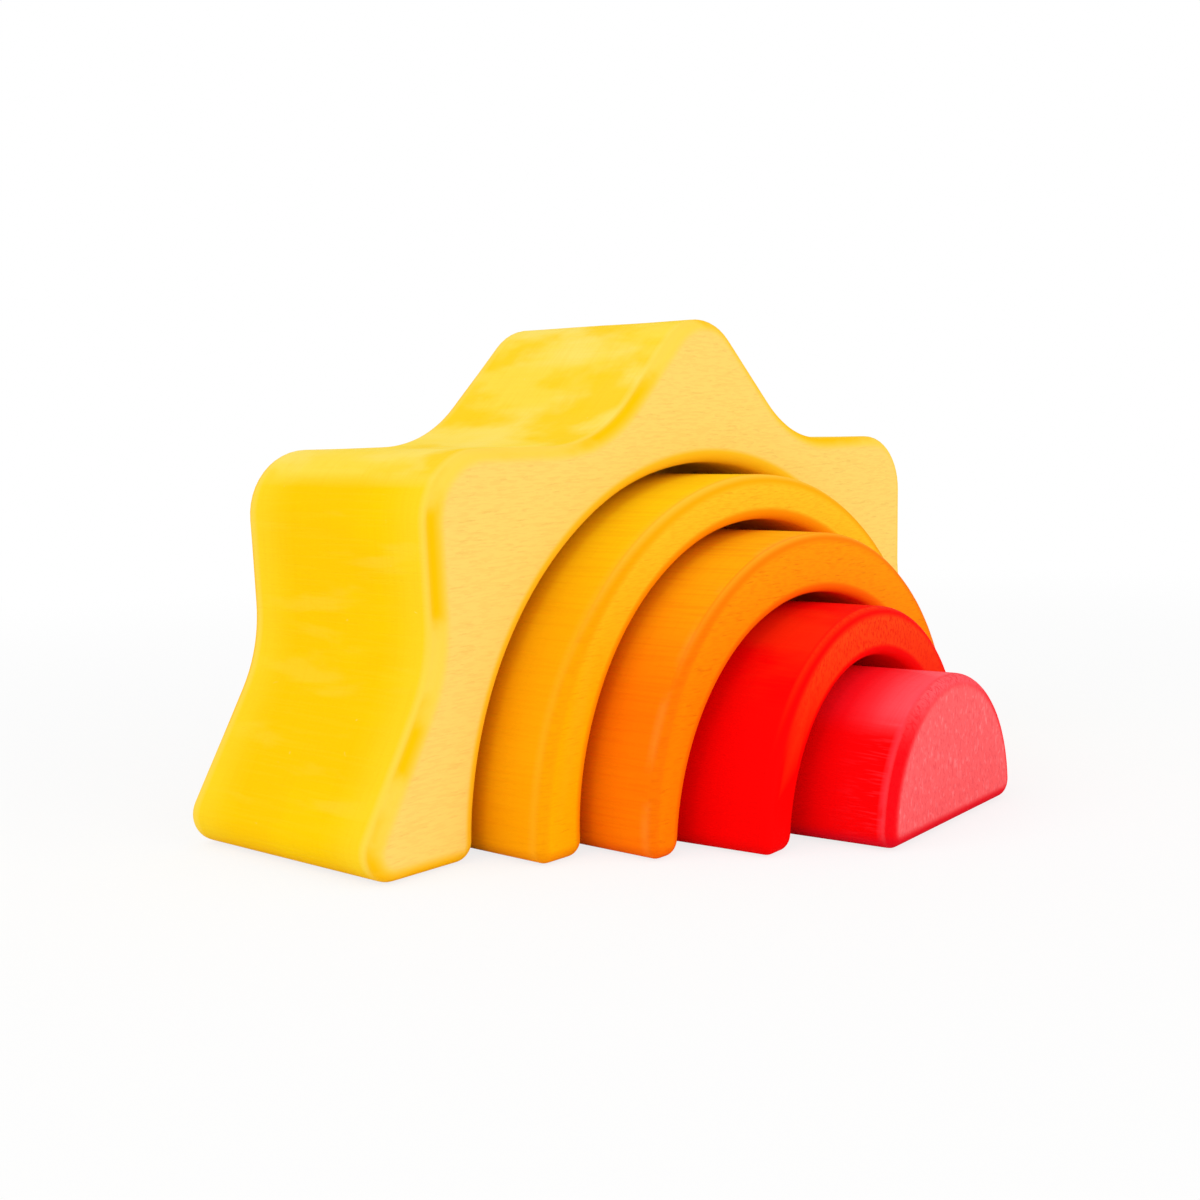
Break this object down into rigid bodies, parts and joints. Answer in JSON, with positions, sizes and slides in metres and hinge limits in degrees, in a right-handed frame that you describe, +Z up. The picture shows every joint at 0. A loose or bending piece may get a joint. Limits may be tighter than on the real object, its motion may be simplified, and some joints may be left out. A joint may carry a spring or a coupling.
{
  "type": "sun stacker toy",
  "caption": "Stained wooden half sun with an arched tunnel, nesting arches and a solid half-round core that slide out of each other to stack and build.",
  "frame": {"origin": "on the surface that the toy stands on, in the middle of the fanned-out set", "axes": "+X across the arches, +Y through the tunnels towards the back, +Z up"},
  "size_m": [0.1696, 0.1042, 0.0913],
  "materials": {
    "yellow_stain": "yellow water-based stain on sanded hardwood",
    "amber_stain": "amber water-based stain on sanded hardwood",
    "orange_stain": "orange water-based stain on sanded hardwood",
    "red_stain": "red water-based stain on sanded hardwood",
    "rose_stain": "rose-red water-based stain on sanded hardwood"
  },
  "bodies": {
    "sun": {"sun": "yellow_stain"},
    "amber_arch": {"amber_arch": "amber_stain"},
    "orange_arch": {"orange_arch": "orange_stain"},
    "red_arch": {"red_arch": "red_stain"},
    "core": {"core": "rose_stain"}
  },
  "joints": [
    {"name": "amber_slide", "type": "slide", "parent": "sun", "child": "amber_arch", "axis": [0, -1, 0], "range_m": [-0.0655, 0.0405]},
    {"name": "orange_slide", "type": "slide", "parent": "amber_arch", "child": "orange_arch", "axis": [0, -1, 0], "range_m": [-0.066, 0.04]},
    {"name": "red_slide", "type": "slide", "parent": "orange_arch", "child": "red_arch", "axis": [0, -1, 0], "range_m": [-0.0669, 0.0449]},
    {"name": "core_slide", "type": "slide", "parent": "red_arch", "child": "core", "axis": [0.084, -0.9965, 0], "range_m": [-0.069, 0.037]}
  ]
}
